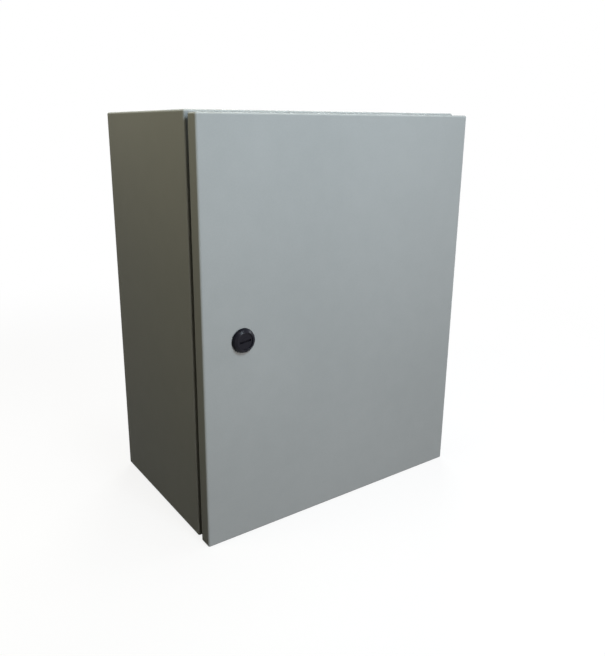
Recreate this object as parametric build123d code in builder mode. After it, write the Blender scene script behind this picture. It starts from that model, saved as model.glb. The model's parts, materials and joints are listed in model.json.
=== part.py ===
from build123d import *
from math import cos, radians, sin
import os

os.makedirs("parts", exist_ok=True)

# A wall-mounted sheet steel control panel box with one hinged door, a cam lock and a mounting plate.
# X runs to the right along the front, Y runs into the wall and Z up. The origin lies on the wall, at
# the centre of the four fixing holes. A depth is a distance out from the wall, so that a sketch on
# Plane.XZ.offset(depth) faces the front and extrudes towards it.

# Cabinet body, one folded and welded sheet
cabinet_width = 400.0
cabinet_height = 500.0
cabinet_depth = 220.0  # wall to the front face of the rim
body_sheet = 1.5
body_bend = 2.5  # outer radius of each fold
rim_width = 20.0  # body side to the outer face of the sealing lip
lip_corner = 8.0  # outer radius of the lip at the corners of the opening
wall_hole_inset = 25.0  # body side to the centre of a wall-fixing hole
wall_hole_diameter = 8.5

# Door, one folded tray that hangs a little lower than the body
side_reveal = 0.5
top_reveal = 3.0
bottom_overhang = 2.0
door_sheet = 1.5
door_bend = 2.5
door_return = 17.0  # depth of the folded edge
rim_gap = 8.0  # rear edge of the door to the rim

# Foamed gasket on the door
gasket_width = 12.0
gasket_height = 7.0
gasket_bevel = 1.5
seal_gap = 0.3  # gasket to the tip of the lip

# Two concealed hinges
hinge_end = 80.0  # top or bottom of the body to the middle of a hinge
hinge_inset = 7.0  # door side to hinge axis
hinge_setback = 8.0  # door front to hinge axis
pin_diameter = 4.0
pin_head_diameter = 7.0
pin_head_height = 1.5
pin_tail = 2.0  # pin below the lower ear
pin_clearance = 0.05
knuckle_radius = 4.2
knuckle_height = 20.0
ear_height = 7.8
ear_clearance = 0.2
bracket_width = 16.0
bracket_length = 60.0
bracket_thickness = 3.0
bracket_gap = 1.2  # sealing lip to the side of the bracket
tongue_thickness = 4.5
tongue_offset = 0.5  # how far the tongue passes the axis, on the side of the door edge
leaf_width = 10.8
leaf_length = 64.0
leaf_thickness = 2.0
leaf_edge_gap = 1.2  # leaf to the inner face of the door edge
notch_margin = 2.0  # above and below the tongue
notch_floor = 1.2  # metal left between the notch and the door sheet

# Quarter-turn cam lock
lock_inset = 51.0  # latch side of the door to the lock axis
lock_height = 0.0  # above the middle of the body
head_diameter = 29.2
head_height = 7.0
head_band = 1.6  # door to where the bevel starts
shoulder_diameter = 26.8  # where the steep part of the bevel meets the shallow part
shoulder_height = 4.8
bezel_face_diameter = 21.4
barrel_diameter = 20.0
barrel_length = 20.0  # behind the front face of the door
barrel_flats = 18.0
barrel_fit = 0.2
lock_seal_diameter = 26.0
lock_seal_thickness = 0.8
lock_nut_size = 27.0
lock_nut_height = 5.0
rotor_diameter = 19.0
rotor_head_height = 4.0
rotor_recess = 1.2
rotor_shaft_diameter = 12.0
rotor_clearance = 0.07
slot_length = 15.0
slot_width = 2.4
slot_depth = 2.6
slot_tilt = 7.0  # turned from level, as it stands at rest
drive_square = 8.0
drive_fit = 0.1
cam_thickness = 3.0
cam_width = 18.0
cam_reach = 40.0  # lock axis to the tip of the cam
cam_corner = 4.0
cam_gap = 2.6  # behind the rim, while the foam is not pressed
cam_screw_length = 12.0
cam_screw_head = (8.0, 5.0)  # across flats, height with the flange
cam_screw_flange = (14.0, 1.2)  # diameter, thickness

# Mounting plate on four studs
plate_margin = 30.0  # body side to the edge of the plate
plate_thickness = 2.0
plate_corner = 5.0
plate_standoff = 20.0
plate_stud_inset = 15.0  # edge of the plate to the centre of a stud
standoff_size = 13.0  # across flats
plate_stud_length = 12.0  # thread past the front face of the plate

# Gland plate over the cable opening in the bottom
gland_opening_width = 250.0
gland_opening_depth = 90.0
gland_opening_corner = 6.0
gland_margin = 18.0  # opening to the edge of the plate
gland_plate_thickness = 2.0
gland_gasket_thickness = 2.0
gland_gasket_margin = 2.0  # opening to the inner edge of the gasket

# Earth studs
body_earth_inset = 35.0  # body side to the stud
body_earth_setback = 30.0  # front face of the rim to the stud
body_earth_length = 16.0
door_earth_inset = 20.0  # inner edge of the gasket to the stud, both ways
door_earth_length = 14.0

# Threads: plain shanks of the thread's size, a little smaller than the nuts and holes on them
thread_play = 0.05
hole_play = 0.5
m5 = 5.0
m6 = 6.0
m8 = 8.0
m6_nut = (10.0, 5.0)  # across flats, height
m8_nut = (13.0, 6.8)

# Places that follow from the sizes
side_x = cabinet_width / 2
top_z = cabinet_height / 2
door_width = cabinet_width - 2 * side_reveal
door_height = cabinet_height - top_reveal + bottom_overhang
door_middle = (bottom_overhang + top_reveal) / -2
door_rear = cabinet_depth + rim_gap
door_front = door_rear + door_return
door_inner = door_front - door_sheet
rim_rear = cabinet_depth - body_sheet
floor_z = -top_z + body_sheet
lip_x = side_x - rim_width
lip_z = top_z - rim_width
lip_tip = door_inner - gasket_height - seal_gap
hinge_x = door_width / 2 - hinge_inset
hinge_depth = door_front - hinge_setback
hinge_heights = {"upper": top_z - hinge_end, "lower": hinge_end - top_z}
bracket_x = lip_x + bracket_gap + bracket_width / 2
bracket_front = cabinet_depth + bracket_thickness
leaf_x = door_width / 2 - door_sheet - leaf_edge_gap - leaf_width / 2
leaf_rear = door_inner - leaf_thickness
lock_x = -door_width / 2 + lock_inset
cam_front = rim_rear - cam_gap
cam_rear = cam_front - cam_thickness
plate_width = cabinet_width - 2 * plate_margin
plate_height = cabinet_height - 2 * plate_margin
gland_plate_width = gland_opening_width + 2 * gland_margin
gland_plate_depth = gland_opening_depth + 2 * gland_margin
gland_centre = cabinet_depth / 2
inner_floor = Plane.XY.offset(floor_z)
door_side = Plane(origin=(0, -door_inner, 0), x_dir=(1, 0, 0), z_dir=(0, 1, 0))


def threaded_studs(plane, places, size, length):
    """Plain shanks that stand on a plane."""
    with BuildPart() as studs:
        with BuildSketch(plane):
            with Locations(*places):
                Circle(size / 2 - thread_play)
        extrude(amount=length)
    return studs


def hexagon_nuts(plane, places, nut, size):
    """Nuts with a plain bore that stand on a plane."""
    with BuildPart() as nuts:
        with BuildSketch(plane):
            with Locations(*places):
                RegularPolygon(nut[0] / 2, 6, major_radius=False)
                Circle(size / 2, mode=Mode.SUBTRACT)
        extrude(amount=nut[1])
    return nuts


# Body shell: a wrap with rounded folds round a flat welded back, and the hollow inside it
with BuildPart() as cavity:
    with BuildSketch(Plane.XZ.offset(body_sheet)):
        Rectangle(cabinet_width - 2 * body_sheet, cabinet_height - 2 * body_sheet)
    extrude(amount=rim_rear - body_sheet)

with BuildPart() as body_shell:
    with BuildSketch(Plane.XZ):
        Rectangle(cabinet_width, cabinet_height)
    extrude(amount=cabinet_depth)
    back_face = body_shell.faces().sort_by(Axis.Y)[-1]
    fillet(body_shell.edges() - back_face.edges(), radius=body_bend)
    add(cavity.part, mode=Mode.SUBTRACT)

    # The rim turns in from each side, and its lip turns forward to press on the gasket
    with BuildSketch(Plane.XZ.offset(rim_rear)):
        RectangleRounded(2 * lip_x, 2 * lip_z, lip_corner)
    extrude(amount=lip_tip - rim_rear)
    with BuildSketch(Plane.XZ.offset(rim_rear)):
        RectangleRounded(
            2 * (lip_x - body_sheet), 2 * (lip_z - body_sheet), lip_corner - body_sheet
        )
    extrude(amount=lip_tip - rim_rear, mode=Mode.SUBTRACT)

    # Wall-fixing holes in the back
    with BuildSketch(Plane.XZ):
        with GridLocations(2 * (side_x - wall_hole_inset), 2 * (top_z - wall_hole_inset), 2, 2):
            Circle(wall_hole_diameter / 2)
    extrude(amount=body_sheet, mode=Mode.SUBTRACT)

    # Cable opening in the bottom
    with BuildSketch(Plane.XY.offset(-top_z)):
        with Locations((0, -gland_centre)):
            RectangleRounded(gland_opening_width, gland_opening_depth, gland_opening_corner)
    extrude(amount=body_sheet, mode=Mode.SUBTRACT)
body_shell.part.label = "body_shell"
export_step(body_shell.part, "parts/body_shell.step")

# Door panel: a tray with its edges folded back, and a hollow one sheet smaller
with BuildPart() as door_hollow:
    with BuildSketch(Plane.XZ.offset(door_rear)):
        with Locations((0, door_middle)):
            RectangleRounded(
                door_width - 2 * door_sheet, door_height - 2 * door_sheet, door_bend - door_sheet
            )
    extrude(amount=door_return - door_sheet)

with BuildPart() as door_panel:
    with BuildSketch(Plane.XZ.offset(door_rear)):
        with Locations((0, door_middle)):
            Rectangle(door_width, door_height)
    extrude(amount=door_return)
    rear_side = door_panel.faces().sort_by(Axis.Y)[-1]
    fillet(door_panel.edges() - rear_side.edges(), radius=door_bend)
    add(door_hollow.part, mode=Mode.SUBTRACT)

    # A notch in the edge at each hinge, where the fixed tongue passes as the door opens
    with BuildSketch(Plane.XZ.offset(door_rear)):
        with Locations(*[(door_width / 2, z) for z in hinge_heights.values()]):
            Rectangle(3 * door_sheet, knuckle_height + 2 * notch_margin)
    extrude(amount=door_inner - notch_floor - door_rear, mode=Mode.SUBTRACT)

    # Lock hole with two flats that stop the barrel turning
    with BuildSketch(Plane.XZ.offset(door_inner)):
        with Locations((lock_x, lock_height)):
            Circle(barrel_diameter / 2 + barrel_fit)
            Rectangle(2 * barrel_diameter, barrel_flats + 2 * barrel_fit, mode=Mode.INTERSECT)
    extrude(amount=door_sheet, mode=Mode.SUBTRACT)
door_panel.part.label = "door_panel"
export_step(door_panel.part, "parts/door_panel.step")

# Door gasket: a foamed ring centred on the lip, with its rear edges bevelled
seal_x = lip_x - body_sheet / 2
seal_z = lip_z - body_sheet / 2
seal_corner = lip_corner - body_sheet / 2
with BuildPart() as door_gasket:
    with BuildSketch(Plane.XZ.offset(door_inner - gasket_height)):
        RectangleRounded(
            2 * seal_x + gasket_width, 2 * seal_z + gasket_width, seal_corner + gasket_width / 2
        )
        RectangleRounded(
            2 * seal_x - gasket_width,
            2 * seal_z - gasket_width,
            seal_corner - gasket_width / 2,
            mode=Mode.SUBTRACT,
        )
    extrude(amount=gasket_height)
    chamfer(door_gasket.faces().sort_by(Axis.Y)[-1].edges(), length=gasket_bevel)
door_gasket.part.label = "door_gasket"
export_step(door_gasket.part, "parts/door_gasket.step")

# Hinges: a bracket on the rim with one knuckle, a leaf on the door with two ears, and a pin
for place, hinge_z in hinge_heights.items():
    hinge_plane = Plane.XY.offset(hinge_z)
    with BuildPart() as hinge_bracket:
        with BuildSketch(Plane.XZ.offset(cabinet_depth)):
            with Locations((bracket_x, hinge_z)):
                Rectangle(bracket_width, bracket_length)
        extrude(amount=bracket_thickness)
        with BuildSketch(hinge_plane.offset(-knuckle_height / 2)):
            with Locations((hinge_x, -hinge_depth)):
                Circle(knuckle_radius)
            with Locations((hinge_x + tongue_offset, -bracket_front)):
                Rectangle(tongue_thickness, hinge_depth - bracket_front, align=(Align.MAX, Align.MAX))
        extrude(amount=knuckle_height)
        with BuildSketch(hinge_plane.offset(-knuckle_height / 2)):
            with Locations((hinge_x, -hinge_depth)):
                Circle(pin_diameter / 2 + pin_clearance)
        extrude(amount=knuckle_height, mode=Mode.SUBTRACT)
    hinge_bracket.part.label = f"hinge_bracket_{place}"
    export_step(hinge_bracket.part, f"parts/hinge_bracket_{place}.step")

    with BuildPart() as hinge_leaf:
        with BuildSketch(Plane.XZ.offset(leaf_rear)):
            with Locations((leaf_x, hinge_z)):
                Rectangle(leaf_width, leaf_length)
        extrude(amount=leaf_thickness)
        for ear_bottom in (
            -knuckle_height / 2 - ear_clearance - ear_height,
            knuckle_height / 2 + ear_clearance,
        ):
            with BuildSketch(hinge_plane.offset(ear_bottom)):
                with Locations((hinge_x, -hinge_depth)):
                    Circle(knuckle_radius)
                    Rectangle(
                        2 * knuckle_radius, leaf_rear - hinge_depth, align=(Align.CENTER, Align.MAX)
                    )
                    Circle(pin_diameter / 2 + pin_clearance, mode=Mode.SUBTRACT)
            extrude(amount=ear_height)
    hinge_leaf.part.label = f"hinge_leaf_{place}"
    export_step(hinge_leaf.part, f"parts/hinge_leaf_{place}.step")

# Hinge pins, each hung by its head on the upper ear of a leaf
ear_top = knuckle_height / 2 + ear_clearance + ear_height
with BuildPart() as hinge_pins:
    for hinge_z in hinge_heights.values():
        with BuildSketch(Plane.XY.offset(hinge_z - ear_top - pin_tail)):
            with Locations((hinge_x, -hinge_depth)):
                Circle(pin_diameter / 2)
        extrude(amount=2 * ear_top + pin_tail)
        with BuildSketch(Plane.XY.offset(hinge_z + ear_top)):
            with Locations((hinge_x, -hinge_depth)):
                Circle(pin_head_diameter / 2)
        extrude(amount=pin_head_height)
hinge_pins.part.label = "hinge_pins"
export_step(hinge_pins.part, "parts/hinge_pins.step")

# Lock housing: a bevelled head over a barrel, turned about the lock axis. The head stands on its seal. In
# this section x is the radius and y the distance behind the front face of the door.
lock_axis = Axis((lock_x, -door_front, lock_height), (0, 1, 0))
lock_section = Plane(origin=(lock_x, -door_front, lock_height), x_dir=(1, 0, 0), z_dir=(0, 0, 1))
well_floor = -head_height + rotor_recess + rotor_head_height
with BuildPart() as lock_housing:
    with BuildSketch(lock_section):
        with BuildLine():
            Polyline(
                (head_diameter / 2, -lock_seal_thickness),
                (head_diameter / 2, -head_band),
                (shoulder_diameter / 2, -shoulder_height),
                (bezel_face_diameter / 2, -head_height),
                (rotor_diameter / 2 + rotor_clearance, -head_height),
                (rotor_diameter / 2 + rotor_clearance, well_floor),
                (rotor_shaft_diameter / 2 + rotor_clearance, well_floor),
                (rotor_shaft_diameter / 2 + rotor_clearance, barrel_length),
                (barrel_diameter / 2, barrel_length),
                (barrel_diameter / 2, -lock_seal_thickness),
                close=True,
            )
        make_face()
    revolve(axis=lock_axis)
    with BuildSketch(Plane.XZ.offset(door_front - barrel_length)):
        with Locations((lock_x, lock_height)):
            Circle(barrel_diameter)
            Rectangle(3 * barrel_diameter, barrel_flats, mode=Mode.SUBTRACT)
    extrude(amount=barrel_length, mode=Mode.SUBTRACT)
lock_housing.part.label = "lock_housing"
export_step(lock_housing.part, "parts/lock_housing.step")

with BuildPart() as lock_seal:
    with BuildSketch(Plane.XZ.offset(door_front)):
        with Locations((lock_x, lock_height)):
            Circle(lock_seal_diameter / 2 - thread_play)
            Circle(barrel_diameter / 2 + thread_play, mode=Mode.SUBTRACT)
    extrude(amount=lock_seal_thickness)
lock_seal.part.label = "lock_seal"
export_step(lock_seal.part, "parts/lock_seal.step")

with BuildPart() as lock_nut:
    with BuildSketch(Plane.XZ.offset(door_inner - lock_nut_height)):
        with Locations((lock_x, lock_height)):
            RegularPolygon(lock_nut_size / 2, 6, major_radius=False)
            Circle(barrel_diameter / 2 + thread_play, mode=Mode.SUBTRACT)
    extrude(amount=lock_nut_height)
lock_nut.part.label = "lock_nut"
export_step(lock_nut.part, "parts/lock_nut.step")

# Lock rotor: slotted head in the well of the housing, shaft through the barrel, square for the cam
rotor_front = door_front + head_height - rotor_recess
cam_direction = radians(90 + slot_tilt)
cam_plane = Plane(
    origin=(lock_x, -cam_rear, lock_height),
    x_dir=(cos(cam_direction), 0, sin(cam_direction)),
    z_dir=(0, -1, 0),
)
square_rear = cam_rear + 2 * drive_fit
with BuildPart() as lock_rotor:
    with BuildSketch(Plane.XZ.offset(rotor_front - rotor_head_height)):
        with Locations((lock_x, lock_height)):
            Circle(rotor_diameter / 2)
    extrude(amount=rotor_head_height)
    with BuildSketch(Plane.XZ.offset(cam_front)):
        with Locations((lock_x, lock_height)):
            Circle(rotor_shaft_diameter / 2)
    extrude(amount=rotor_front - rotor_head_height - cam_front)
    with BuildSketch(cam_plane.offset(square_rear - cam_rear)):
        Rectangle(drive_square, drive_square)
    extrude(amount=cam_front - square_rear)
    with BuildSketch(Plane.XZ.offset(rotor_front)):
        with Locations((lock_x, lock_height)):
            Rectangle(slot_length, slot_width, rotation=slot_tilt)
    extrude(amount=-slot_depth, mode=Mode.SUBTRACT)
    with BuildSketch(Plane.XZ.offset(square_rear)):
        with Locations((lock_x, lock_height)):
            Circle(m5 / 2)
    extrude(amount=cam_screw_length, mode=Mode.SUBTRACT)
lock_rotor.part.label = "lock_rotor"
export_step(lock_rotor.part, "parts/lock_rotor.step")

# Lock cam: a flat tongue that turns behind the rim
with BuildPart() as lock_cam:
    with BuildSketch(cam_plane):
        Circle(cam_width / 2)
        Rectangle(cam_reach, cam_width, align=(Align.MIN, Align.CENTER))
        Rectangle(drive_square + 2 * drive_fit, drive_square + 2 * drive_fit, mode=Mode.SUBTRACT)
    extrude(amount=cam_thickness)
    tip = lock_cam.faces().sort_by(Axis((0, 0, 0), cam_plane.x_dir))[-1]
    fillet(tip.edges().filter_by(Axis.Y), radius=cam_corner)
lock_cam.part.label = "lock_cam"
export_step(lock_cam.part, "parts/lock_cam.step")

# Cam screw: a hexagon head whose flange holds the cam on the square
with BuildPart() as cam_screw:
    with BuildSketch(Plane.XZ.offset(cam_rear)):
        with Locations((lock_x, lock_height)):
            Circle(m5 / 2 - thread_play)
    extrude(amount=cam_screw_length)
    with BuildSketch(Plane.XZ.offset(cam_rear - cam_screw_flange[1])):
        with Locations((lock_x, lock_height)):
            Circle(cam_screw_flange[0] / 2)
    extrude(amount=cam_screw_flange[1])
    with BuildSketch(Plane.XZ.offset(cam_rear - cam_screw_head[1])):
        with Locations((lock_x, lock_height)):
            RegularPolygon(cam_screw_head[0] / 2, 6, major_radius=False)
    extrude(amount=cam_screw_head[1])
cam_screw.part.label = "cam_screw"
export_step(cam_screw.part, "parts/cam_screw.step")

# Mounting plate on four studs with hexagon shoulders, held by nuts
plate_rear = body_sheet + plate_standoff
plate_front = plate_rear + plate_thickness
plate_stud_x = plate_width / 2 - plate_stud_inset
plate_stud_z = plate_height / 2 - plate_stud_inset
plate_studs_at = [(x, z) for x in (-plate_stud_x, plate_stud_x) for z in (-plate_stud_z, plate_stud_z)]
with BuildPart() as plate_studs:
    with BuildSketch(Plane.XZ.offset(body_sheet)):
        with Locations(*plate_studs_at):
            RegularPolygon(standoff_size / 2, 6, major_radius=False)
    extrude(amount=plate_standoff)
    with BuildSketch(Plane.XZ.offset(plate_rear)):
        with Locations(*plate_studs_at):
            Circle(m8 / 2 - thread_play)
    extrude(amount=plate_thickness + plate_stud_length)
plate_studs.part.label = "plate_studs"
export_step(plate_studs.part, "parts/plate_studs.step")

with BuildPart() as mounting_plate:
    with BuildSketch(Plane.XZ.offset(plate_rear)):
        RectangleRounded(plate_width, plate_height, plate_corner)
        with Locations(*plate_studs_at):
            Circle((m8 + hole_play) / 2, mode=Mode.SUBTRACT)
    extrude(amount=plate_thickness)
mounting_plate.part.label = "mounting_plate"
export_step(mounting_plate.part, "parts/mounting_plate.step")

plate_nuts = hexagon_nuts(Plane.XZ.offset(plate_front), plate_studs_at, m8_nut, m8)
plate_nuts.part.label = "plate_nuts"
export_step(plate_nuts.part, "parts/plate_nuts.step")

# Gland plate on its gasket, laid over the cable opening from inside
with BuildPart() as gland_gasket:
    with BuildSketch(inner_floor):
        with Locations((0, -gland_centre)):
            RectangleRounded(gland_plate_width, gland_plate_depth, gland_opening_corner)
            RectangleRounded(
                gland_opening_width + 2 * gland_gasket_margin,
                gland_opening_depth + 2 * gland_gasket_margin,
                gland_opening_corner,
                mode=Mode.SUBTRACT,
            )
    extrude(amount=gland_gasket_thickness)
gland_gasket.part.label = "gland_gasket"
export_step(gland_gasket.part, "parts/gland_gasket.step")

with BuildPart() as gland_plate:
    with BuildSketch(inner_floor.offset(gland_gasket_thickness)):
        with Locations((0, -gland_centre)):
            RectangleRounded(gland_plate_width, gland_plate_depth, gland_opening_corner)
    extrude(amount=gland_plate_thickness)
gland_plate.part.label = "gland_plate"
export_step(gland_plate.part, "parts/gland_plate.step")

# Earth stud in the bottom of the body
body_earth_at = [(body_earth_inset - side_x, body_earth_setback - cabinet_depth)]
body_earth_stud = threaded_studs(inner_floor, body_earth_at, m8, body_earth_length)
body_earth_stud.part.label = "body_earth_stud"
export_step(body_earth_stud.part, "parts/body_earth_stud.step")

body_earth_nut = hexagon_nuts(inner_floor, body_earth_at, m8_nut, m8)
body_earth_nut.part.label = "body_earth_nut"
export_step(body_earth_nut.part, "parts/body_earth_nut.step")

# Earth stud low on the hinge side of the door. The plane of the inner face looks inwards, so its
# second direction points down.
door_earth_x = seal_x - gasket_width / 2 - door_earth_inset
door_earth_drop = seal_z - gasket_width / 2 - door_earth_inset
door_earth_at = [(door_earth_x, door_earth_drop)]
door_earth_stud = threaded_studs(door_side, door_earth_at, m6, door_earth_length)
door_earth_stud.part.label = "door_earth_stud"
export_step(door_earth_stud.part, "parts/door_earth_stud.step")

door_earth_nut = hexagon_nuts(door_side, door_earth_at, m6_nut, m6)
door_earth_nut.part.label = "door_earth_nut"
export_step(door_earth_nut.part, "parts/door_earth_nut.step")
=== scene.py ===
import json
from math import cos, radians, sin

import bmesh
import bpy
import numpy as np
from mathutils import Matrix, Vector


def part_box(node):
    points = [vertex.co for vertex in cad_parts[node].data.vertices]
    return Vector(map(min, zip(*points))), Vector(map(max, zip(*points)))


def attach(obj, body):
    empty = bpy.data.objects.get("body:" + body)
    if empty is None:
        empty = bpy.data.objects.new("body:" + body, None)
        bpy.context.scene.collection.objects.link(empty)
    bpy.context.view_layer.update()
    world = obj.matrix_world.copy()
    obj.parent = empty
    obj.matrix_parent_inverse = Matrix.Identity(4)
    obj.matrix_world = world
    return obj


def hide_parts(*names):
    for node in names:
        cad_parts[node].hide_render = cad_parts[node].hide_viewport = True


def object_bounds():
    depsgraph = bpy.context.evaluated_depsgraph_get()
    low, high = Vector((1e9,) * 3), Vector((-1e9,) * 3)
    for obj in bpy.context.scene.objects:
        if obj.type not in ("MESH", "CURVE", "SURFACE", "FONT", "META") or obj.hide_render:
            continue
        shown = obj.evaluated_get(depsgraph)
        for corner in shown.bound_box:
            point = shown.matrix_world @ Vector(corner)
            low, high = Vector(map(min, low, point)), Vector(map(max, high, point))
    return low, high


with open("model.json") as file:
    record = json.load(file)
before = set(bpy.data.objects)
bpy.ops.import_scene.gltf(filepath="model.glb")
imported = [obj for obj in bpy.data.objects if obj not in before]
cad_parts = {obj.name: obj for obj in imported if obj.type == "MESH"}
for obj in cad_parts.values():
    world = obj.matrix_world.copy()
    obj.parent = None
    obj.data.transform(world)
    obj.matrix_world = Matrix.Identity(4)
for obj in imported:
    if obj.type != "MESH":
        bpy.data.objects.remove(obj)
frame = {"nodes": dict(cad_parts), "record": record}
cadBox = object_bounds()
nodes = frame["nodes"]
mm = 0.001
print("frame loaded:", len(nodes), "nodes")


# Shader values: sums, products and limits of values add Math nodes
class Value:
    def __init__(self, shader, socket):
        self.shader = shader
        self.socket = socket

    def math(self, operation, *others, clamp=False):
        node = self.shader.add(
            "ShaderNodeMath",
            {"operation": operation, "use_clamp": clamp},
            dict(enumerate((self, *others))),
        )
        return Value(self.shader, node.outputs[0])

    def flipped(self, operation, other):
        node = self.shader.add("ShaderNodeMath", {"operation": operation}, {0: other, 1: self})
        return Value(self.shader, node.outputs[0])

    def __add__(self, other):
        return self.math("ADD", other)

    __radd__ = __add__

    def __sub__(self, other):
        return self.math("SUBTRACT", other)

    def __rsub__(self, other):
        return self.flipped("SUBTRACT", other)

    def __mul__(self, other):
        return self.math("MULTIPLY", other)

    __rmul__ = __mul__

    def __truediv__(self, other):
        return self.math("DIVIDE", other)

    def __rtruediv__(self, other):
        return self.flipped("DIVIDE", other)

    def clamped(self):
        return self.math("ADD", 0.0, clamp=True)

    def smoothstep(self, low, high):
        settings = {"interpolation_type": "SMOOTHSTEP"}
        node = self.shader.add("ShaderNodeMapRange", settings, {0: self, 1: low, 2: high})
        return Value(self.shader, node.outputs[0])


class Shader:
    def __init__(self, name):
        self.material = bpy.data.materials.new(name)
        self.material.use_nodes = True
        self.tree = self.material.node_tree
        self.tree.nodes.clear()
        self.place = Value(self, self.add("ShaderNodeTexCoord").outputs["Object"])

    @classmethod
    def around(cls, tree):
        shader = cls.__new__(cls)
        shader.tree = tree
        tree.nodes.clear()
        return shader

    def add(self, kind, settings=None, inputs=None):
        node = self.tree.nodes.new(kind)
        for name, setting in (settings or {}).items():
            setattr(node, name, setting)
        for key, given in (inputs or {}).items():
            if isinstance(given, Value):
                self.tree.links.new(given.socket, node.inputs[key])
            else:
                node.inputs[key].default_value = given
        return node

    def value(self, kind, settings=None, inputs=None, output=0):
        return Value(self, self.add(kind, settings, inputs).outputs[output])

    def scaled(self, factors):
        return self.value("ShaderNodeMapping", None, {"Vector": self.place, "Scale": factors})

    def noise(self, scale, detail=2.0, roughness=0.5, vector=None):
        inputs = {"Vector": vector or self.place, "Scale": scale}
        inputs.update({"Detail": detail, "Roughness": roughness})
        return self.value("ShaderNodeTexNoise", None, inputs)

    def cells(self, scale, output="Distance"):
        return self.value("ShaderNodeTexVoronoi", None, {"Vector": self.place, "Scale": scale}, output)

    def axes(self):
        split = self.add("ShaderNodeSeparateXYZ", None, {0: self.place})
        return [Value(self, socket) for socket in split.outputs]

    def mixed(self, factor, first, second):
        inputs = {0: factor, 6: (*first, 1.0), 7: (*second, 1.0)}
        return self.value("ShaderNodeMix", {"data_type": "RGBA", "blend_type": "MIX"}, inputs, 2)

    def bump(self, height, distance, strength):
        inputs = {"Height": height, "Distance": distance, "Strength": strength}
        return self.value("ShaderNodeBump", None, inputs)

    def finish(self, **inputs):
        given = {key.replace("_", " "): setting for key, setting in inputs.items()}
        surface = self.add("ShaderNodeBsdfPrincipled", None, given)
        self.add("ShaderNodeOutputMaterial", None, {"Surface": Value(self, surface.outputs[0])})
        return self.material


# Powder coat: a cool light grey whose cloudy drift is two slow noises with a speckle of the peel and grit
# added, over an orange peel of about a millimetre and a fine grit. Roughness follows both.
paint = {
    "colour": (0.347, 0.373, 0.373),
    "pale": (0.377, 0.403, 0.403),
    "drift": 5.0,  # noise scales
    "peel": 900.0,
    "grit": 4200.0,
    "speckle": 0.4,
    "roughness": 0.44,
    "gloss": 0.02,
    "relief": 0.00004,
}


def powderCoat():
    shader = Shader("powderCoat")
    drift = shader.noise(paint["drift"], 3.0) * 0.7 + shader.noise(paint["drift"] * 9, 2.0) * 0.3
    peel = shader.noise(paint["peel"], 1.5, 0.45)
    grit = shader.noise(paint["grit"], 1.0, 0.5)
    tone = drift + (peel - 0.5) * paint["speckle"] + (grit - 0.5) * paint["speckle"]
    colour = shader.mixed(tone.smoothstep(0.25, 0.75), paint["colour"], paint["pale"])
    return shader.finish(
        Base_Color=colour,
        Roughness=paint["roughness"] + (peel - 0.5) * 0.16 + (grit - 0.5) * 0.08,
        IOR=1.45,
        Specular_IOR_Level=paint["gloss"],
        Normal=shader.bump(peel + grit * 0.25, paint["relief"], 0.5),
    )


# Foamed sealing: near black skin with closed bubbles from a cell pattern, and pinholes at the peaks of a
# finer noise
foam = {
    "skin": (0.020, 0.020, 0.021), "worn": (0.036, 0.035, 0.034), "bubbles": 900.0,
    "roughness": 0.62, "relief": 0.00012,
}


def foamSkin():
    shader = Shader("foamSkin")
    bubbles = shader.cells(foam["bubbles"])
    pits = shader.noise(foam["bubbles"] * 2.3, 2.0).smoothstep(0.62, 0.74)
    worn = shader.noise(40.0, 3.0).smoothstep(0.35, 0.75)
    return shader.finish(
        Base_Color=shader.mixed(worn, foam["skin"], foam["worn"]),
        Roughness=foam["roughness"] + worn * 0.2,
        Normal=shader.bump((1 - bubbles) * 0.6 - pits * 0.5, foam["relief"], 0.7),
    )


# Moulded black plastic: a gloss that dulls in faint cloudy patches, with fine scratches that run along
# stretched noise, and a trace of dust
plastic = {
    "black": (0.006, 0.006, 0.011), "dusty": (0.020, 0.020, 0.027), "scratches": (2600.0, 900.0, 240.0),
    "roughness": 0.29, "gloss": 0.14, "relief": 0.00002,
}


def blackPlastic():
    shader = Shader("blackPlastic")
    cloud = shader.noise(160.0, 3.0)
    scratch = shader.noise(1.0, 2.0, 0.6, shader.scaled(plastic["scratches"]))
    dust = shader.noise(2400.0, 2.0, 0.7).smoothstep(0.60, 0.78)
    return shader.finish(
        Base_Color=shader.mixed(dust * 0.35, plastic["black"], plastic["dusty"]),
        Roughness=plastic["roughness"] + (cloud - 0.5) * 0.14 + dust * 0.15,
        IOR=1.5,
        Specular_IOR_Level=plastic["gloss"],
        Normal=shader.bump(scratch * 0.5 + cloud * 0.5, plastic["relief"], 0.5),
    )


# Zinc-coated sheet: crystals from a cell pattern, each with its own brightness, and soft rolling lines
# along the sheet
sheetZinc = {
    "dark": (0.36, 0.37, 0.38), "light": (0.50, 0.51, 0.52), "crystals": 110.0,
    "rolling": (1400.0, 1400.0, 18.0), "roughness": 0.46, "relief": 0.00002,
}


def zincSheet():
    shader = Shader("zincSheet")
    crystal = shader.cells(sheetZinc["crystals"], "Color")
    crystal = shader.value("ShaderNodeRGBToBW", None, {0: crystal})
    lines = shader.noise(1.0, 3.0, 0.6, shader.scaled(sheetZinc["rolling"]))
    cloud = shader.noise(14.0, 3.0)
    tone = (crystal * 0.55 + lines * 0.25 + cloud * 0.3).clamped()
    return shader.finish(
        Base_Color=shader.mixed(tone, sheetZinc["dark"], sheetZinc["light"]),
        Metallic=0.85,
        Roughness=sheetZinc["roughness"] + crystal * 0.14 + (lines - 0.5) * 0.1,
        Normal=shader.bump(lines * 0.4 + crystal * 0.6, sheetZinc["relief"], 0.4),
    )


# Die-cast zinc: a satin metal whose tone is a slow cloud with a fine pebble grain over it
castZinc = {
    "dark": (0.33, 0.33, 0.34), "light": (0.47, 0.47, 0.48), "grain": 1500.0,
    "roughness": 0.42, "relief": 0.00004,
}


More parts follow.
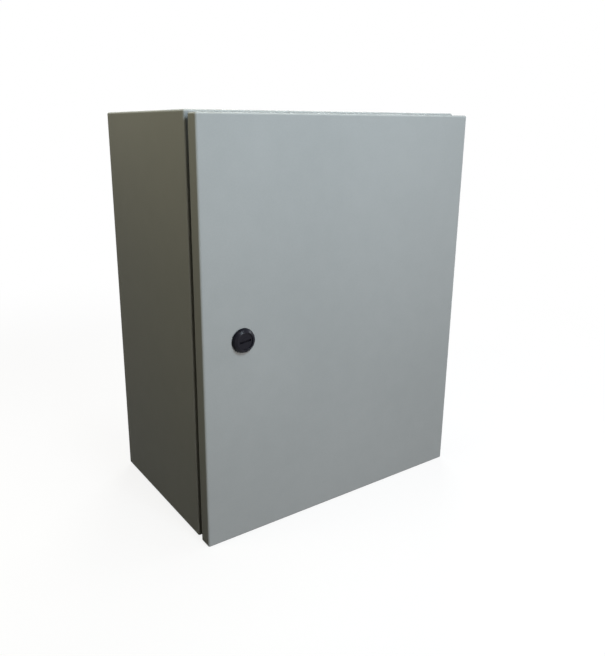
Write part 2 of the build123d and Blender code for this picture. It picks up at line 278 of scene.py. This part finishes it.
def zincCasting():
    shader = Shader("zincCasting")
    grain = shader.noise(castZinc["grain"], 3.0, 0.6)
    cloud = shader.noise(90.0, 3.0)
    tone = (cloud * 0.6 + grain * 0.4).clamped()
    return shader.finish(
        Base_Color=shader.mixed(tone, castZinc["dark"], castZinc["light"]),
        Metallic=0.9,
        Roughness=castZinc["roughness"] + (cloud - 0.5) * 0.16,
        Normal=shader.bump(grain, castZinc["relief"], 0.5),
    )


# Bright plated steel: fine turned lines from noise that is squeezed across the piece, and faint
# iridescent clouds of the passivation
plating = {
    "nickelPlate": {"cool": (0.60, 0.59, 0.56), "warm": (0.66, 0.64, 0.60), "roughness": 0.26},
    "drawnSteel": {"cool": (0.55, 0.55, 0.56), "warm": (0.60, 0.60, 0.60), "roughness": 0.22},
    "zincPlate": {"cool": (0.56, 0.58, 0.61), "warm": (0.63, 0.62, 0.57), "roughness": 0.30},
}
turning = {"lines": (500.0, 5200.0, 500.0), "relief": 0.000015}


def brightPlating(name):
    shader = Shader(name)
    cool, warm, roughness = (plating[name][key] for key in ("cool", "warm", "roughness"))
    cloud = shader.noise(260.0, 2.0)
    lines = shader.noise(1.0, 2.0, 0.5, shader.scaled(turning["lines"]))
    return shader.finish(
        Base_Color=shader.mixed(cloud.smoothstep(0.3, 0.7), cool, warm),
        Metallic=0.95,
        Roughness=roughness + (lines - 0.5) * 0.12 + (cloud - 0.5) * 0.08,
        Normal=shader.bump(lines, turning["relief"], 0.5),
    )


finishes = {
    "powder_coat": powderCoat(),
    "foam_seal": foamSkin(),
    "black_plastic": blackPlastic(),
    "galvanised": zincSheet(),
    "hinge_zinc": zincCasting(),
    "lock_metal": brightPlating("nickelPlate"),
    "bright_steel": brightPlating("drawnSteel"),
    "zinc_fastener": brightPlating("zincPlate"),
}
slotOf = {row["node"]: row["material_slot"] for row in frame["record"]["subparts"]}


def dress(piece, slot):
    piece.data.materials.clear()
    piece.data.materials.append(finishes[slot])


for name, node in nodes.items():
    dress(node, slotOf[name])
print("finishes made:", len(finishes))


# Surfaces. One or more grids of points, each rows by columns, become one mesh. A grid closes round its
# columns, and round its rows too where it is a ring; otherwise its two ends close in a point each.
def surface(name, grids, ring=False):
    points, faces, start = [], [], 0
    for grid in grids:
        if not ring:
            ends = [np.broadcast_to(grid[end].mean(0), grid[:1].shape) for end in (0, -1)]
            grid = np.concatenate([ends[0], grid, ends[1]])
        rows, columns = grid.shape[:2]
        index = start + np.arange(rows * columns).reshape(rows, columns)
        index = np.hstack([index, index[:, :1]])
        if ring:
            index = np.vstack([index, index[:1]])
        corners = (index[:-1, :-1], index[:-1, 1:], index[1:, 1:], index[1:, :-1])
        faces.append(np.stack(corners, -1).reshape(-1, 4))
        points.append(grid.reshape(-1, 3))
        start += rows * columns
    mesh = bpy.data.meshes.new(name)
    mesh.from_pydata(np.concatenate(points).tolist(), [], np.concatenate(faces).tolist())
    return mended(mesh)


# Doubles merge, faces left without area go, and the rest turn outwards
def mended(mesh, flatten=0.0):
    work = bmesh.new()
    work.from_mesh(mesh)
    bmesh.ops.remove_doubles(work, verts=work.verts, dist=1e-6)
    bmesh.ops.dissolve_degenerate(work, edges=work.edges, dist=1e-6)
    if flatten:
        bmesh.ops.dissolve_limit(work, angle_limit=radians(flatten), verts=work.verts, edges=work.edges)
    bmesh.ops.recalc_face_normals(work, faces=work.faces)
    work.to_mesh(mesh)
    work.free()
    return mesh


# A piece of the object: its mesh is shaded smooth up to an angle, and it rides with its body
def piece(name, mesh, body, slot, stands="", sharp=28.0):
    mesh.shade_smooth()
    mesh.set_sharp_from_angle(angle=radians(sharp))
    item = bpy.data.objects.new(name, mesh)
    bpy.context.scene.collection.objects.link(item)
    dress(item, slot)
    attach(item, body)
    if stands:
        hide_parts(stands)
    return item


# Outline with rounded corners: each corner of a closed line gives way to an arc of its own radius, which
# leaves the two sides at radius / tan(half angle) and turns evenly about a centre on the bisector
def rounded(corners, radii, steps=6):
    corners = np.asarray(corners, float)
    radii = np.broadcast_to(radii, len(corners))[:, None]
    back, ahead = np.roll(corners, 1, 0) - corners, np.roll(corners, -1, 0) - corners
    back /= np.linalg.norm(back, axis=1, keepdims=True)
    ahead /= np.linalg.norm(ahead, axis=1, keepdims=True)
    half = np.arccos(np.clip((back * ahead).sum(1, keepdims=True), -1, 1)) / 2
    middle = (back + ahead) / np.linalg.norm(back + ahead, axis=1, keepdims=True)
    centre = corners + middle * radii / np.sin(half)
    first = (corners + back * radii / np.tan(half) - centre)[:, None]
    last = (corners + ahead * radii / np.tan(half) - centre)[:, None]
    share = np.linspace(0, 1, steps)[None, :, None]
    sweep = (np.pi - 2 * half)[:, None]
    arc = (np.sin((1 - share) * sweep) * first + np.sin(share * sweep) * last) / np.sin(sweep)
    return (centre[:, None] + arc).reshape(-1, 2)


# Turned form: every row has a height along an axis and a radius, and both may change with the angle
def turned(foot, direction, heights, radii, angles):
    along = np.asarray(direction, float)
    side = np.array([1.0, 0, 0]) if abs(along[0]) < 0.5 else np.array([0, 1.0, 0])
    across = np.cross(along, side)
    heights, radii = (given[:, None] if given.ndim == 1 else given for given in (heights, radii))
    spokes = np.cos(angles)[:, None] * side + np.sin(angles)[:, None] * across
    return np.asarray(foot, float) + heights[..., None] * along + radii[..., None] * spokes


def anglesRound(count):
    return np.linspace(0, 2 * np.pi, count, endpoint=False)


# Radius of a hexagon at each angle: half its flats over the cosine of the angle from the nearest flat
def hexagon(angles, flats):
    return flats / 2 / np.cos((angles + np.pi / 6) % (np.pi / 3) - np.pi / 6)


# Zigzag of a thread: from 0 to 1 and back, once for each pitch of height less the share of the turn
def threadWave(rise, pitch, angles):
    return np.abs(2 * ((rise / pitch - angles / (2 * np.pi)) % 1) - 1)


# Threaded rod: the radius is a blunt zigzag between root and crest. It fades out at the foot, and a
# 45 degree cone cuts the tip.
thread = {"rowsPerPitch": 8, "sides": 28, "depth": 0.6, "point": 0.75}  # depth and point: shares of a pitch


def threadedRod(foot, direction, size, length, pitch):
    angles = anglesRound(thread["sides"])
    heights = np.linspace(0, length, int(length / pitch * thread["rowsPerPitch"]) + 1)
    rise = heights[:, None]
    wave = np.clip(threadWave(rise, pitch, angles) * 1.3 - 0.15, 0, 1) * np.clip(rise / pitch - 0.3, 0, 1)
    flank = size / 2 - thread["depth"] * pitch * wave
    tip = size / 2 - thread["point"] * pitch + length - rise
    return turned(foot, direction, heights, np.minimum(flank, tip), angles)


# Hexagon with a 30 degree cone at its far end, and at its near end too where near is set: at every angle a
# side starts where the cone meets the hexagon
def hexagonRows(angles, flats, height, near=True):
    rim, side = np.full(len(angles), 0.475 * flats), hexagon(angles, flats)
    cut = (side - rim) * 0.577  # the tangent of 30 degrees
    heights = [np.zeros(len(angles)), cut] if near else [np.zeros(len(angles))]
    radii = [rim, side] if near else [side]
    heights += [height - cut, np.full(len(angles), height)]
    radii += [side, rim]
    return np.array(heights), np.array(radii)


# Hexagon nut: outer rows of the hexagon, and a bore with a 45 degree countersink at both ends
def hexagonNut(foot, direction, flats, height, bore, sides=72):
    angles = anglesRound(sides)
    sink = 0.06 * flats
    heights, radii = hexagonRows(angles, flats, height)
    inner = np.outer([bore / 2, bore / 2, bore / 2 + sink], np.ones(sides))
    ends = np.outer([height / 2, sink, 0], np.ones(sides))
    heights = np.concatenate([ends, heights, (height - ends)[::-1]])
    radii = np.concatenate([inner, radii, inner[::-1]])
    return turned(foot, direction, heights, radii, angles)


# Softened copy of a CAD node: doubles merged, flat areas joined, and a rounding cut along sharp edges
soft = {"flat": 1.0, "sharp": 32.0}  # degrees
edges = {"sheet": 0.3 * mm, "door": 0.18 * mm, "lock": 0.3 * mm}


def softened(node, width, body, segments=2):
    mesh = mended(nodes[node].data.copy(), soft["flat"])
    mesh.materials.clear()
    item = piece(node + "_soft", mesh, body, slotOf[node], node)
    bevel = item.modifiers.new("softEdges", "BEVEL")
    bevel.width = width
    bevel.segments = segments
    bevel.limit_method = "ANGLE"
    bevel.angle_limit = radians(soft["sharp"])
    bevel.harden_normals = True
    shading = item.modifiers.new("evenShading", "WEIGHTED_NORMAL")
    shading.keep_sharp = True
    return item


# Places taken from the frame
turns = {joint["name"]: joint for joint in frame["record"]["behaviour"]["joints"]}
lockAt = np.array(turns["lock_turn"]["pos_m"])
hingeAt = np.array(turns["door_hinge"]["pos_m"])
forward = (0, -1, 0)
backward = (0, 1, 0)
upward = (0, 0, 1)


def span(node):
    low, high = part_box(node)
    return np.array(low), np.array(high)


def centreOf(node):
    low, high = span(node)
    return (low + high) / 2


# Lock housing: a head with two bevels, a well for the rotor, and a threaded barrel with two flats. Its
# section is a closed outline of radius and height over the door; flats limit the barrel's radius to
# half the flats over the sine of the angle, and a zigzag cuts the thread.
housing = {
    "head": 29.2 * mm, "seal": 0.8 * mm, "band": 1.6 * mm, "shoulder": (26.8 * mm, 4.8 * mm),
    "face": (21.4 * mm, 7.0 * mm), "rotor": 19.14 * mm, "well": 5.2 * mm, "shaft": 12.14 * mm,
    "barrel": 20.0 * mm, "flats": 18.0 * mm, "length": 20.0 * mm, "pitch": 1.5 * mm, "chamfer": 0.6 * mm,
    "threadEnd": -2.5 * mm, "edge": 0.45 * mm,
}


def lockHousing():
    h = housing
    top, rear = h["face"][1], -h["length"]
    corners = [
        (h["barrel"] / 2, h["seal"]), (h["head"] / 2, h["seal"]), (h["head"] / 2, h["band"]),
        (h["shoulder"][0] / 2, h["shoulder"][1]), (h["face"][0] / 2, top), (h["rotor"] / 2, top),
        (h["rotor"] / 2, top - h["well"]), (h["shaft"] / 2, top - h["well"]),
        (h["shaft"] / 2, rear), (h["barrel"] / 2 - h["chamfer"], rear),
    ]
    roundings = np.array([0.1, 0.5, 1.2, 1.6, 1.2, 0.7, 0.4, 0.4, 0.6, 0.6]) * h["edge"]
    section = rounded(corners, roundings)
    foot = section[-1, 1]
    rows = int((h["seal"] - foot) / h["pitch"] * thread["rowsPerPitch"])
    barrel = np.linspace(foot, h["seal"], rows)[1:-1]
    radii = np.concatenate([section[:, 0], np.full(len(barrel), h["barrel"] / 2)])
    heights = np.concatenate([section[:, 1], barrel])
    angles = anglesRound(96)
    threaded = ((heights < h["threadEnd"]) & (radii > 0.47 * h["barrel"]))[:, None]
    wave = threadWave(heights[:, None], h["pitch"], angles)
    radii = radii[:, None] - np.where(threaded, wave * 0.5 * h["pitch"], 0)
    flat = h["flats"] / 2 / np.maximum(np.abs(np.sin(angles)), 1e-6)
    inBarrel = ((heights < h["seal"]) & (radii[:, 0] > 0.4 * h["barrel"]))[:, None]
    radii = np.where(inBarrel, np.minimum(radii, flat), radii)
    mesh = surface("lockHousing", [turned(lockAt, forward, heights, radii, angles)], ring=True)
    piece("lockHousing", mesh, "door", "black_plastic", "lock_housing")


lockHousing()
softened("lock_rotor", edges["lock"], "lock", segments=3)
softened("lock_cam", edges["lock"], "lock")

# Nut on the barrel: a hexagon nut whose bore is the barrel's size
barrelNut = {"flats": 27.0 * mm, "height": 5.0 * mm}


def lockNut():
    place = (lockAt[0], span("lock_nut")[0][1], lockAt[2])
    grid = hexagonNut(place, backward, barrelNut["flats"], barrelNut["height"], housing["barrel"], 96)
    piece("lockNut", surface("lockNut", [grid], ring=True), "door", "lock_metal", "lock_nut")


lockNut()

# Cam screw: a hexagon head on a round flange whose rim is rounded in five rows, and a thread that stands in
# the square of the rotor
camScrew = {
    "size": 4.9 * mm, "pitch": 0.8 * mm, "flange": 14.0 * mm, "rim": 1.2 * mm, "flats": 8.0 * mm,
    "sides": 72,
}


def camFastener():
    s = camScrew
    low, high = span("cam_screw")
    foot = (lockAt[0], span("lock_cam")[1][1], lockAt[2])
    angles = anglesRound(s["sides"])
    heights, radii = hexagonRows(angles, s["flats"], high[1] - foot[1] - s["rim"], near=False)
    flangeRows = np.array([0, 0.15, 0.6, 0.9, 1.0]) * s["rim"]
    edge = s["flange"] / 2 - np.array([0.3, 0.0, 0.0, 0.15, 0.5]) * mm
    heights = np.concatenate([np.outer(flangeRows, np.ones(s["sides"])), heights + s["rim"]])
    radii = np.concatenate([np.outer(edge, np.ones(s["sides"])), radii])
    head = turned(foot, backward, heights, radii, angles)
    shank = threadedRod(foot, forward, s["size"], foot[1] - low[1], s["pitch"])
    piece("camScrew", surface("camScrew", [head, shank]), "lock", "zinc_fastener", "cam_screw")


camFastener()
print("lock made")

# Door seal: poured foam, a dome whose width and height follow a superellipse, carried along a rounded
# rectangle. Slow waves lift it a little, and the lip has left a shallow line along its middle.
seal = {
    "width": 12.0 * mm, "power": 3.4, "corner": 7.25 * mm, "step": 5.0 * mm,
    "line": 0.35 * mm, "lineWidth": 1.3 * mm, "lift": 0.16 * mm,
    "waves": ((23, 0.5, 0.0), (41, 0.3, 1.0), (97, 0.2, 2.0)),  # rounds, share of the lift, start
}


def doorSeal():
    low, high = span("door_gasket")
    depth = high[1] - low[1]
    width = seal["width"]
    halfX, halfZ = (high[0] - low[0] - width) / 2, (high[2] - low[2] - width) / 2
    middle = (low + high) / 2
    corners = np.array([(-halfX, -halfZ), (halfX, -halfZ), (halfX, halfZ), (-halfX, halfZ)])
    path = rounded(corners, seal["corner"], 13)
    path = np.vstack([path, path[:1]])
    gone = np.concatenate([[0], np.cumsum(np.linalg.norm(np.diff(path, axis=0), axis=1))])
    steps = np.concatenate([gone[:-1], np.arange(0, gone[-1], seal["step"])])
    steps = np.unique(np.round(steps, 6))
    path = np.stack([np.interp(steps, gone, path[:, axis]) for axis in (0, 1)], -1)
    ahead = np.roll(path, -1, 0) - np.roll(path, 1, 0)
    ahead /= np.linalg.norm(ahead, axis=1, keepdims=True)
    out = np.stack([ahead[:, 1], -ahead[:, 0]], -1)
    angles = np.linspace(0, np.pi, 25)
    side = np.sign(np.cos(angles)) * np.abs(np.cos(angles)) ** (2 / seal["power"]) * width / 2
    rise = np.abs(np.sin(angles)) ** (2 / seal["power"]) * depth
    share = steps / gone[-1] * 2 * np.pi
    wave = sum(size * np.sin(rounds * share + start) for rounds, size, start in seal["waves"])
    sunk = seal["line"] * np.exp(-((side / seal["lineWidth"]) ** 2))
    height = rise[None, :] - (sunk + seal["lift"] * (1 + wave[:, None])) * (rise / depth)[None, :]
    flat = path[:, None] + side[None, :, None] * out[:, None]
    x, z = middle[0] + flat[..., 0], middle[2] + flat[..., 1]
    grid = np.stack([x, low[1] + height, z], -1)
    mesh = surface("doorSeal", [grid], ring=True)
    piece("doorSeal", mesh, "door", "foam_seal", "door_gasket", sharp=50)


doorSeal()
print("seal made")

# Hinges: softened castings, a pin with a domed head and a cut tail in each, button screws that clamp the
# brackets to the rim, and weld studs with nuts that hold the leaves
hinge = {
    "casting": 0.35 * mm, "bracket": 3.0 * mm, "leaf": 2.0 * mm, "rim": 1.5 * mm,
    "pin": 4.0 * mm, "pinHead": 7.0 * mm, "headHeight": 1.5 * mm, "down": 20.0 * mm, "up": 18.0 * mm,
    "tail": 0.4 * mm,
    "screwSpacing": 40.0 * mm, "screwHead": 9.5 * mm, "screwHeight": 2.2 * mm, "socket": 3.0 * mm,
    "screw": (5.0 * mm, 7.0 * mm, 0.8 * mm),  # size, length, pitch
    "screwNut": (8.0 * mm, 4.0 * mm, 5.0 * mm),  # flats, height, bore
    "studSpacing": 50.0 * mm,
    "stud": (4.0 * mm, 5.0 * mm, 0.7 * mm),
    "studNut": (7.0 * mm, 3.2 * mm, 4.0 * mm),
}
places = {name: centreOf("hinge_bracket_" + name) for name in ("upper", "lower")}


# Pin: straight from a chamfered tail to a head whose top is a quarter ellipse
def hingePin(centre):
    h = hinge
    dome = np.linspace(0, np.pi / 2, 7)[:-1]
    r, headR, tall = h["pin"] / 2, h["pinHead"] / 2, h["headHeight"]
    heights = np.concatenate([
        np.array([-h["down"], h["tail"] - h["down"], h["up"], h["up"], h["up"] + 0.2 * tall]),
        h["up"] + 0.4 * tall + 0.6 * tall * np.sin(dome),
    ])
    radii = np.concatenate([np.array([r - h["tail"], r, r, headR - 0.2 * mm, headR]), headR * np.cos(dome)])
    return turned((hingeAt[0], hingeAt[1], centre[2]), upward, heights, radii, anglesRound(36))


# Button screw: an elliptic dome up to a chamfered hexagon socket, which goes down to a quarter of the height
def buttonScrew(foot, direction, head, height, socket, sides=48):
    angles = anglesRound(sides)
    arc = np.linspace(0, 1.25, 8)
    cut = 0.15 * mm
    domeR = np.concatenate([[head / 2 - 0.2 * mm], head / 2 * np.cos(arc)])
    domeH = height * (0.12 + 0.88 * np.sin(arc) / np.sin(arc[-1]))
    sink = hexagon(angles, socket)
    radii = np.concatenate([np.outer(domeR, np.ones(sides)), np.stack([sink + cut, sink, sink * 0.99])])
    heights = np.concatenate([[0], domeH, [height, height - cut, 0.25 * height]])
    return turned(foot, direction, heights, radii, angles)


def hinges():
    for place in places:
        softened("hinge_bracket_" + place, hinge["casting"], "cabinet")
        softened("hinge_leaf_" + place, hinge["casting"], "door")
    pins = [hingePin(centre) for centre in places.values()]
    piece("hingePins", surface("hingePins", pins), "door", "bright_steel", "hinge_pins")


def hingeFasteners():
    h = hinge
    button = (h["screwHead"], h["screwHeight"], h["socket"])
    rimFront = span("hinge_bracket_upper")[1][1]
    leafX = centreOf("hinge_leaf_upper")[0]
    leafRear = span("hinge_leaf_upper")[0][1] + h["leaf"]
    clamps, nuts, studs, studNuts = [], [], [], []
    for x, _, middle in places.values():
        for side in (-1, 1):
            z = middle + side * h["screwSpacing"] / 2
            clamps.append(buttonScrew((x, rimFront - h["bracket"], z), forward, *button))
            clamps.append(threadedRod((x, rimFront, z), backward, *h["screw"]))
            nuts.append(hexagonNut((x, rimFront + h["rim"], z), backward, *h["screwNut"], 48))
            stud = (leafX, leafRear, middle + side * h["studSpacing"] / 2)
            studs.append(threadedRod(stud, backward, *h["stud"]))
            studNuts.append(hexagonNut(stud, backward, *h["studNut"], 48))
    piece("bracketScrews", surface("bracketScrews", clamps), "cabinet", "zinc_fastener")
    piece("bracketNuts", surface("bracketNuts", nuts, ring=True), "cabinet", "zinc_fastener")
    piece("leafStuds", surface("leafStuds", studs), "door", "zinc_fastener")
    piece("leafNuts", surface("leafNuts", studNuts, ring=True), "door", "zinc_fastener")


hinges()
hingeFasteners()
print("hinges made")

# Inside: a mounting plate on four shouldered studs, a gland plate over the cable opening, earth studs
inside = {
    "plateInset": 15.0 * mm, "shoulder": 13.0 * mm, "glandInset": (18.0 * mm, 8.0 * mm),
    "glandStud": 8.0 * mm, "undersize": 0.1 * mm,
    "m8": {"size": 8.0 * mm, "pitch": 1.25 * mm, "nut": (13.0 * mm, 6.8 * mm, 8.0 * mm)},
    "m6": {"size": 6.0 * mm, "pitch": 1.0 * mm, "nut": (10.0 * mm, 5.0 * mm, 6.0 * mm)},
    "m5": {"size": 5.0 * mm, "pitch": 0.8 * mm, "nut": (8.0 * mm, 4.0 * mm, 5.0 * mm)},
}


# Hexagon spacer, chamfered like a nut at both ends and closed
def hexagonSpacer(foot, direction, flats, height):
    angles = anglesRound(72)
    return turned(foot, direction, *hexagonRows(angles, flats, height), angles)


def plateFasteners():
    inset, m8 = inside["plateInset"], inside["m8"]
    size = m8["size"] - inside["undersize"]
    low, high = span("mounting_plate")
    tip, back = span("plate_studs")[0][1], span("plate_studs")[1][1]
    nutRear = span("plate_nuts")[1][1]
    studs, nuts = [], []
    for x in (low[0] + inset, high[0] - inset):
        for z in (low[2] + inset, high[2] - inset):
            studs.append(hexagonSpacer((x, back, z), forward, inside["shoulder"], back - high[1]))
            studs.append(threadedRod((x, high[1], z), forward, size, high[1] - tip, m8["pitch"]))
            nuts.append(hexagonNut((x, nutRear, z), forward, *m8["nut"]))
    piece("plateStuds", surface("plateStuds", studs), "cabinet", "zinc_fastener", "plate_studs")
    piece("plateNuts", surface("plateNuts", nuts, ring=True), "cabinet", "zinc_fastener", "plate_nuts")


def earthFasteners():
    for name, node, body, direction, metric in (
        ("bodyEarth", "body_earth", "cabinet", upward, inside["m8"]),
        ("doorEarth", "door_earth", "door", backward, inside["m6"]),
    ):
        low, high = span(node + "_stud")
        along = np.array(direction)
        foot = (low + high) / 2 - along * (high - low) / 2
        length = float(((high - low) * along).sum())
        rod = threadedRod(foot, direction, metric["size"] - inside["undersize"], length, metric["pitch"])
        piece(name + "Stud", surface(name + "Stud", [rod]), body, "zinc_fastener", node + "_stud")
        ring = hexagonNut(foot, direction, *metric["nut"])
        piece(name + "Nut", surface(name + "Nut", [ring], ring=True), body, "zinc_fastener", node + "_nut")


def glandFasteners():
    m5 = inside["m5"]
    insetX, insetY = inside["glandInset"]
    low, high = span("gland_plate")
    studs, nuts = [], []
    for x in (low[0] + insetX, 0.0, high[0] - insetX):
        for y in (low[1] + insetY, high[1] - insetY):
            studs.append(threadedRod((x, y, high[2]), upward, m5["size"], inside["glandStud"], m5["pitch"]))
            nuts.append(hexagonNut((x, y, high[2]), upward, *m5["nut"], 48))
    piece("glandStuds", surface("glandStuds", studs), "cabinet", "zinc_fastener")
    piece("glandNuts", surface("glandNuts", nuts, ring=True), "cabinet", "zinc_fastener")


softened("mounting_plate", edges["sheet"], "cabinet")
softened("gland_plate", edges["sheet"], "cabinet")
plateFasteners()
earthFasteners()
glandFasteners()
print("inside made")

# Sheet edges of the body and the door. The door's hinge notches end 0.2 mm short of its bend, which is
# the room for its rounding.
softened("body_shell", edges["sheet"], "cabinet")
softened("door_panel", edges["door"], "door")
print("sheet edges softened")


# Studio: a pale floor just under the door. Seen directly or in a gloss it is near white with the object's
# own soft shadow, and pure white beyond a ring round the object; it sends little other light back up.
seeingRays = ("Is Camera Ray", "Is Glossy Ray", "Is Transmission Ray")
studio = {"floor": cadBox[0][2] - 0.1 * mm, "half": 12.0, "glow": 0.86, "shadow": (0.5, 1.3), "bounce": 0.02}


def studioFloor():
    half, level = studio["half"], studio["floor"]
    corners = [(-half, -half, level), (half, -half, level), (half, half, level), (-half, half, level)]
    mesh = bpy.data.meshes.new("studioFloor")
    mesh.from_pydata(corners, [], [(0, 1, 2, 3)])
    floor = bpy.data.objects.new("studioFloor", mesh)
    bpy.context.scene.collection.objects.link(floor)
    shader = Shader("paleFloor")
    path = shader.add("ShaderNodeLightPath")
    seen = sum(Value(shader, path.outputs[ray]) for ray in seeingRays)
    x, y, _ = shader.axes()
    far = (x * x + y * y).math("SQRT").smoothstep(*studio["shadow"])
    glow = studio["glow"] + far * (1 - studio["glow"])
    pale = shader.value("ShaderNodeBsdfDiffuse", None, {"Color": (0.95, 0.95, 0.95, 1)})
    dim = studio["bounce"]
    dull = shader.value("ShaderNodeBsdfDiffuse", None, {"Color": (dim, dim, dim, 1)})
    white = shader.value("ShaderNodeEmission", None, {"Color": (1, 1, 1, 1), "Strength": 1.0})
    front = shader.value("ShaderNodeMixShader", None, {0: glow, 1: pale, 2: white})
    mix = shader.value("ShaderNodeMixShader", None, {0: seen, 1: dull, 2: front})
    shader.add("ShaderNodeOutputMaterial", None, {"Surface": mix})
    mesh.materials.append(shader.material)


studioFloor()


# World: white where it is seen directly or in a gloss, and a dim warm room for everything else
room = {"colour": (1.0, 0.93, 0.78), "strength": 0.01}


def studioWorld():
    world = bpy.data.worlds.new("room")
    world.use_nodes = True
    shader = Shader.around(world.node_tree)
    path = shader.add("ShaderNodeLightPath")
    seen = sum(Value(shader, path.outputs[ray]) for ray in seeingRays)
    warm = {"Color": (*room["colour"], 1.0), "Strength": room["strength"]}
    dim = shader.value("ShaderNodeBackground", None, warm)
    white = shader.value("ShaderNodeBackground", None, {"Color": (1, 1, 1, 1), "Strength": 1.0})
    mix = shader.value("ShaderNodeMixShader", None, {0: seen, 1: dim, 2: white})
    shader.add("ShaderNodeOutputWorld", None, {"Surface": mix})
    bpy.context.scene.world = world


studioWorld()
print("floor and room set")

# Lamps: a large soft one in front, a cool one above the camera that fades down the door, one overhead for
# the bends, two warm ones beside the left side, one at the right for the lock and the hinge side, and one
# behind for the back
warmWall = (1.0, 0.89, 0.62)
lamps = {
    "front": {"at": (0.25, -2.6, 0.25), "aim": (0.0, -0.24, 0.0), "size": (1.6, 1.2), "power": 34.0,
              "colour": (1.0, 0.935, 0.915)},
    "above": {"at": (-0.09, -1.0, 0.75), "aim": (-0.07, -0.24, 0.15), "size": (0.2, 0.35), "power": 6.3,
              "colour": (0.78, 0.91, 1.0)},
    "overhead": {"at": (0.05, -0.2, 1.6), "aim": (0.0, -0.2, 0.2), "size": (0.8, 0.4), "power": 10.0,
                 "colour": (0.97, 0.99, 1.0)},
    "left": {"at": (-0.5, -0.17, 0.85), "aim": (-0.2, -0.1, 0.1), "size": (0.2, 0.2), "power": 3.15,
             "colour": warmWall},
    "leftLow": {"at": (-0.55, -0.5, 0.0), "aim": (-0.2, -0.22, -0.05), "size": (0.25, 0.25), "power": 0.1,
                "colour": warmWall},
    "right": {"at": (1.15, -0.46, 0.55), "aim": (-0.15, -0.25, 0.0), "size": (0.5, 0.4), "power": 3.6,
              "colour": (0.88, 0.92, 1.0)},
    "behind": {"at": (1.3, 1.5, 1.0), "aim": (0.0, 0.0, 0.0), "size": (1.2, 1.0), "power": 34.0,
               "colour": (1.0, 0.98, 0.95)},
}


def addLamp(name, lamp):
    light = bpy.data.lights.new(name, "AREA")
    light.shape = "RECTANGLE"
    light.size, light.size_y = lamp["size"]
    light.energy = lamp["power"]
    light.color = lamp["colour"]
    item = bpy.data.objects.new(name, light)
    turn = (Vector(lamp["aim"]) - Vector(lamp["at"])).to_track_quat("-Z", "Y")
    item.matrix_world = Matrix.Translation(lamp["at"]) @ turn.to_matrix().to_4x4()
    bpy.context.scene.collection.objects.link(item)


for name, lamp in lamps.items():
    addLamp(name, lamp)

# Camera: fitted to the edges of the photograph, in its pixels
photo = {"width": 605, "height": 656, "focal": 650.2, "centre": (277.7, 310.3)}
view = {"at": (-0.5070, -0.8460, 0.2329), "yaw": 34.05, "pitch": 15.79, "roll": 0.08}


def addCamera():
    camera = bpy.data.cameras.new("camera")
    camera.sensor_fit = "AUTO"
    camera.sensor_width = 36.0
    longest = max(photo["width"], photo["height"])
    camera.lens = photo["focal"] * camera.sensor_width / longest
    camera.shift_x = (photo["width"] / 2 - photo["centre"][0]) / longest
    camera.shift_y = (photo["centre"][1] - photo["height"] / 2) / longest
    yaw, pitch, roll = (radians(view[key]) for key in ("yaw", "pitch", "roll"))
    ahead = Vector((sin(yaw) * cos(pitch), cos(yaw) * cos(pitch), -sin(pitch)))
    right = Vector((cos(yaw), -sin(yaw), 0.0))
    up = right.cross(ahead)
    across = right * cos(roll) + up * sin(roll)
    upright = up * cos(roll) - right * sin(roll)
    turn = Matrix((across, upright, -ahead)).transposed().to_4x4()
    item = bpy.data.objects.new("camera", camera)
    item.matrix_world = Matrix.Translation(view["at"]) @ turn
    bpy.context.scene.collection.objects.link(item)
    bpy.context.scene.camera = item


addCamera()
bpy.context.scene.view_settings.view_transform = "Standard"

print("scene done")
